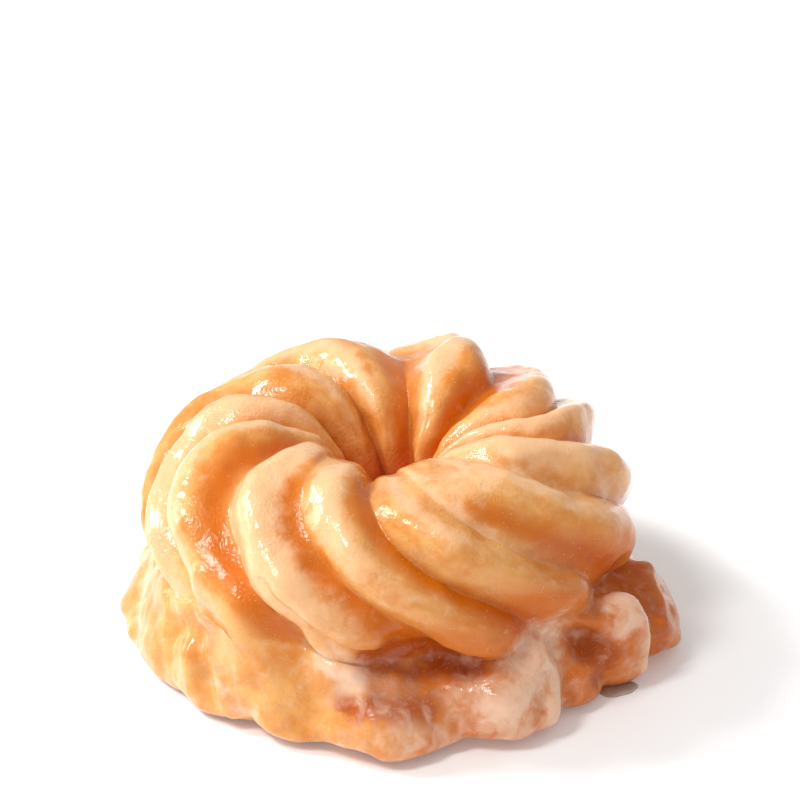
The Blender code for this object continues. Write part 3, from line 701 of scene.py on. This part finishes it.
spread = {
    "keyLitSide": (-0.6, 0.05, 0.8),    # painted light: the film is paler on the flanks that face the key light, this way
    "keyLitSpan": (-0.25, 0.6),
    "keyLitShare": 0.5,         # share of the film that depends on that painted light
    "filmEdge": 0.35,           # how gradually it ends across a lobe
    "filmHoleSpan": (160, 110),
    "thinnedSpan": (55, 30),    # it thins towards the lobes' ends
    "thinned": (300, 50, 0.5),  # azimuth, half width and share of that
    "bridgeSpan": (0.72, 0.95), # across a lobe, of the film that bridges a crease
    "crown": (78, 20),          # section angle and half width of the film on the crown
    "sideChoice": 0.1,          # a milky side this far from the middle leaves the other flank clear
    "flankSpan": (0.3, 0.75),
    "leftSide": (212, 45),      # azimuth and half width where the creases are lit and paler
    "leftRimSpan": (0.82, 0.98),
    "leftRimShare": 0.5,
    "creaseSpan": (0.7, 1.0),
    "creaseShare": 0.8,
    "farLeft": (135, 75, 0.6),  # azimuth, half width and share by which the creases pale
    "grooveDepth": (0.0, 0.8),
    "grooveHoleSpan": (215, 170),
    "low": ((31, 15), (-14, 14), 0.8),      # painted shade, the crust browner low down on the right: spans of height and to the right, most
    "right": ((5, 30), (-6, -18), 0.6),     # and at the right front: spans to the right and front, share
    "back": ((-8, 12), 0.6),    # less so at the back: span to the back, share
    "upSpan": (-0.1, 0.8),      # and on faces that look up
    "hole": ((120, 170), (34, 20)),     # painted shade deep in the hole: spans of section angle and height
    "footPool": (0.3, 0.25, 8.0, 11),   # milky glaze on the foot: mean, variation, its size and seed
    "goldFoot": (212, 55, 0.6), # azimuth, half width and share by which the lit left of the foot stays gold
    "runPool": 0.45,            # milkiness of the runs at the sides and back
    "edgeHeights": (2.2, 0.6),
    "evening": 4,               # rounds of smoothing that take the jumps out of the film and the creases
    "lanes": (2.2, 16, 7.3),    # streaks: lanes across a lobe, degrees along it, and from lobe to lobe
}


# The fields that the glaze's material reads: milky film on the crests, paler as painted light on the flanks
# facing the key light; the creases' wet orange, deepened as painted shade; gathered glaze; painted shade in
# the dents, low on the right and deep in the hole; the edge's own tint; and where the streaks run
def glazeFields(points, fields):
    azimuth, angle, across = fields["azimuth"], fields["angle"], fields["across"]
    onFoot, before = fields["onFoot"], fields["before"]
    x, y, up = np.moveaxis(points, -1, 0)
    normals = gridNormals(points)
    facingUp = ease(normals[..., 2], *spread["upSpan"])
    # painted light: how far each face turns to the key light
    keyLit = ease(normals @ np.array(spread["keyLitSide"]), *spread["keyLitSpan"])

    def evened(field):
        return soften(field[..., None], np.ones(field.shape), spread["evening"])[..., 0]

    milky, reach, bridge, crown = np.moveaxis(np.array(milkySides)[fields["lobe"]], -1, 0)
    nextBridge = np.roll(np.array(milkySides)[:, 2], -1)[fields["lobe"]]
    bridged = np.where(across < 0, bridge, nextBridge) * ease(np.abs(across), *spread["bridgeSpan"])
    bridged = np.maximum(bridged, crown * bump(angle, *spread["crown"])) * (1 - onFoot)

    away = -across * np.clip(milky / spread["sideChoice"], -1, 1)   # towards the flank that the film leaves
    # painted shade: the crease orange, deeper on the flank away from the film and in the creases, less where
    # the left is lit
    leftSide = bump(azimuth, *spread["leftSide"])
    flank = ease(away, *spread["flankSpan"])
    flank = flank * (1 - spread["leftRimShare"] * leftSide * ease(away, *spread["leftRimSpan"]))
    crease = ease(np.abs(across), *spread["creaseSpan"]) * spread["creaseShare"] * (1 - leftSide)
    groove = np.maximum(flank, crease) * (1 - bump(azimuth, *spread["farLeft"]))
    groove = groove * ease(fields["depth"], *spread["grooveDepth"]) * ease(angle, *spread["grooveHoleSpan"])
    groove = evened(groove * (1 - onFoot) * (1 - bridged))

    # painted shade: the crust browner low down on the right, and at the right front on faces that look down
    heights, sideways, most = spread["low"]
    low = ease(up, *heights) * ease(x, *sideways)
    sideways, frontwards, share = spread["right"]
    low = low + share * ease(x, *sideways) * ease(y, *frontwards) * (1 - facingUp)
    backwards, share = spread["back"]
    low = most * np.clip(low, 0, 1) * (1 - share * ease(y, *backwards))

    crest = ease(np.abs(across - milky) - reach, spread["filmEdge"], -spread["filmEdge"])
    crest = crest * (1 - onFoot) * ease(angle, *spread["filmHoleSpan"])
    crest = crest * (1 - ease(angle, *spread["thinnedSpan"]) * bump(azimuth, *spread["thinned"]))
    # the film is painted paler on flanks facing the key light, and fades under the painted shade
    crest = np.maximum(crest, bridged) * (1 - spread["keyLitShare"] * (1 - keyLit))
    crest = evened(crest * (1 - low))

    mean, variation, size, seed = spread["footPool"]
    overFoot = (mean + variation * valueNoise(before, size, seed)) * (1 - bump(azimuth, *spread["goldFoot"]))
    milkyRuns = runsDown([run for run in backRuns["runs"] if run[2] > 0], spread["runPool"])
    pool = np.clip(strokeField(before, {**pools, **milkyRuns}) + onFoot * overFoot, 0, 1)
    # painted shade in the dents and crevices, under the lobes' ends and on the shaded right
    brown = np.clip(strokeField(before, hollowShade), 0, 1)

    inside, heights = spread["hole"]
    lanes, degreesAlong, fromLobe = spread["lanes"]
    return {
        "crest": crest, "groove": groove, "pool": pool, "brown": brown, "low": low,
        # painted shade deep in the hole
        "hole": ease(angle, *inside) * ease(up, *heights),
        "edge": ease(up, *spread["edgeHeights"]),
        "lane": across * lanes * (1 - onFoot),
        "along": angle / degreesAlong * (1 - onFoot),
        "lobe": fields["lobe"] * fromLobe * (1 - onFoot),
    }


# The pastry, moved from its own axis to the middle of the CAD box
def buildCruller():
    points, fields = crullerSurface()
    piece = gridObject("glazedCruller", points + np.array((*ringAxis, 0.0)), glazeFields(points, fields))
    piece.data.materials.append(glazedDough())
    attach(piece, "root")
    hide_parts("cruller")


glazeDrop = {
    "centre": (34.8, -20.6),    # from the ring's axis, half under the foot's edge
    "halfWidths": (3.5, 2.7),
    "height": 0.55,
    "clearance": 0.02,          # over the table
    "wobble": (0.08, 3, 0.9),   # share by which its outline wavers, waves round it and where they start
    "secondWobble": 0.4,        # share of a wave twice as fine
    "roundness": 3,             # power of the way to its rim, flat on top and steep at the rim
    "segments": (72, 14),
    "colour": "#C9B3A6",
    "pink": "#E2B9A4",
    "cloud": (2.2, 3.0, 0.52, 0.6),     # size and detail of its pink patches, where they start and are whole
    "roughness": 0.2,
    "clear": 0.1,
}


# Sugar glaze with no pastry under it: greyish and half clear, pink where it lies thicker
def thinGlaze():
    size, detail, start, whole = glazeDrop["cloud"]
    return makeMaterial("setGlazeDrop", (
        ("cloud", "TexNoise", {}, {"Scale": 1 / (size * mm), "Detail": detail, "Vector": "place/Object"}),
        ("thick", "MapRange", {}, {"Value": "cloud/Fac", "From Min": start, "From Max": whole}),
        ("tint", "Mix", {"data_type": "RGBA"}, {
            "Factor_Float": "thick/Result", "A_Color": glazeDrop["colour"], "B_Color": glazeDrop["pink"]}),
    ), {"Base Color": "tint/Result_Color", "Roughness": glazeDrop["roughness"],
        "Transmission Weight": glazeDrop["clear"]})


# A drop of glaze that ran off and set on the table: rings from its middle out to a wavering outline, at a
# height that is the square root of what is left to the rim
def buildDrop():
    around, steps = glazeDrop["segments"]
    centre, height, clearance = glazeDrop["centre"], glazeDrop["height"], glazeDrop["clearance"]
    turn = np.arange(around) / around * 2 * np.pi
    share = np.arange(1, steps + 1)[:, None] / steps
    waver, waves, start = glazeDrop["wobble"]
    second = glazeDrop["secondWobble"] * waver
    reach = 1 + waver * np.sin(waves * turn + start) + second * np.sin(2 * waves * turn)
    outline = np.stack([np.cos(turn), np.sin(turn)], -1) * glazeDrop["halfWidths"]
    flat = share[..., None] * (outline * reach[:, None])[None] + centre
    up = np.sqrt(np.clip(1 - share ** glazeDrop["roundness"], 0, 1)) * height + clearance
    rings = np.concatenate([flat, np.broadcast_to(up, flat.shape[:2])[..., None]], -1).reshape(-1, 3)
    poles = [(*centre, clearance + height), (*centre, clearance)]
    points = (np.concatenate([rings, poles]) + np.array((*ringAxis, 0.0))) * mm
    index = np.arange(steps * around).reshape(steps, around)
    following = np.roll(index, -1, 1)
    quads = np.stack([index[:-1], index[1:], following[1:], following[:-1]], -1).reshape(-1, 4)
    top, bottom = np.full(around, steps * around), np.full(around, steps * around + 1)
    caps = np.concatenate([np.stack([top, index[0], following[0]], -1),
                           np.stack([bottom, following[-1], index[-1]], -1)])
    mesh = bpy.data.meshes.new("glazeDrop")
    mesh.from_pydata(points.tolist(), [], quads.tolist() + caps.tolist())
    mesh.shade_smooth()
    piece = bpy.data.objects.new("glazeDrop", mesh)
    bpy.context.scene.collection.objects.link(piece)
    mesh.materials.append(thinGlaze())
    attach(piece, "root")


floorLook = {
    "colour": "#F7F7F7",
    "width": 6000,
    "glow": 0.14,               # lifts the shadows, as the white room round the table does
    "grain": 25.0,              # size of the paint's unevenness
    "roughness": (0.85, 0.95),
    "specular": 0.1,
}


# A matt white table top, painted and dry, so it gives no reflection of the pastry
def buildFloor():
    half = floorLook["width"] / 2 * mm
    least, most = floorLook["roughness"]
    mesh = bpy.data.meshes.new("floor")
    corners = [(-half, -half, 0), (half, -half, 0), (half, half, 0), (-half, half, 0)]
    mesh.from_pydata(corners, [], [(0, 1, 2, 3)])
    mesh.materials.append(makeMaterial("paintedTableTop", (
        ("grain", "TexNoise", {}, {"Scale": 1 / (floorLook["grain"] * mm), "Vector": "place/Object"}),
        ("rough", "MapRange", {}, {"Value": "grain/Fac", "To Min": least, "To Max": most}),
    ), {"Base Color": floorLook["colour"], "Roughness": "rough/Result", "Emission Color": (1, 1, 1, 1),
        "Specular IOR Level": floorLook["specular"], "Emission Strength": floorLook["glow"]}))
    floor = bpy.data.objects.new("floor", mesh)
    bpy.context.scene.collection.objects.link(floor)


studio = {
    # name, direction it shines from, distance, width, height and strength of each softbox
    "softboxes": (
        ("keySoftbox", (-0.66, 0.16, 0.70), 900, 200, 200, 4.1),
        ("leftStrip", (-0.88, 0.16, 0.36), 900, 260, 440, 2.3),
        ("topFill", (-0.46, -0.33, 0.83), 1200, 220, 300, 5.6),
    ),
    "surround": 0.53,           # the white room's own brightness
}


# Each softbox is a rectangle of light that faces the middle of the table
def buildLights():
    for name, direction, distance, width, height, power in studio["softboxes"]:
        light = bpy.data.lights.new(name, "AREA")
        light.shape = "RECTANGLE"
        light.size, light.size_y, light.energy = width * mm, height * mm, power
        lamp = bpy.data.objects.new(name, light)
        unit = np.array(direction) / np.linalg.norm(direction)
        lamp.location = unit * distance * mm
        flat = math.hypot(unit[0], unit[1])
        lamp.rotation_euler = (math.atan2(flat, unit[2]), 0, math.atan2(unit[0], -unit[1]))
        bpy.context.scene.collection.objects.link(lamp)
    world = bpy.data.worlds.new("whiteRoom")
    world.use_nodes = True
    background = world.node_tree.nodes["Background"]
    background.inputs["Color"].default_value = (1, 1, 1, 1)
    background.inputs["Strength"].default_value = studio["surround"]
    bpy.context.scene.world = world


shot = {
    "elevation": 31.0,          # degrees above the table
    "distance": 480.0,          # from the ring's axis at the table
    "pixelsPerMillimetre": 6.12,
    "imageSize": 800,
    "axisPixel": (392, 620),    # where the photograph shows the ring's axis at the table
    "sensor": 36.0,
    "clip": (0.01, 20),         # metres
}


# The camera stands straight in front of the ring's axis. It is turned, without a shift, until the axis falls
# on its pixel: turned by yaw and pitch, it sees the axis at shares dx and dy of its focal length.
def buildCamera():
    focal = shot["pixelsPerMillimetre"] * shot["distance"]
    dx = (shot["axisPixel"][0] - shot["imageSize"] / 2) / focal
    dy = (shot["imageSize"] / 2 - shot["axisPixel"][1]) / focal
    elevation = math.radians(shot["elevation"])
    length = math.sqrt(1 + dx * dx + dy * dy)
    pitch = math.atan(dy) + math.asin(length * math.sin(elevation) / math.sqrt(1 + dy * dy))
    yaw = math.atan2(-dx, dy * math.sin(pitch) + math.cos(pitch))
    data = bpy.data.cameras.new("camera")
    data.sensor_width = shot["sensor"]
    data.lens = focal / shot["imageSize"] * shot["sensor"]
    data.clip_start, data.clip_end = shot["clip"]
    camera = bpy.data.objects.new("camera", data)
    back, rise = shot["distance"] * math.cos(elevation), shot["distance"] * math.sin(elevation)
    camera.location = (ringAxis[0] * mm, (ringAxis[1] - back) * mm, rise * mm)
    camera.rotation_euler = (math.pi / 2 - pitch, 0, -yaw)
    bpy.context.scene.collection.objects.link(camera)
    bpy.context.scene.camera = camera


buildCruller()
print("cruller done")
buildDrop()
print("glaze drop done")
buildFloor()
buildLights()
buildCamera()
bpy.context.scene.view_settings.view_transform = "Standard"
print("stage done")
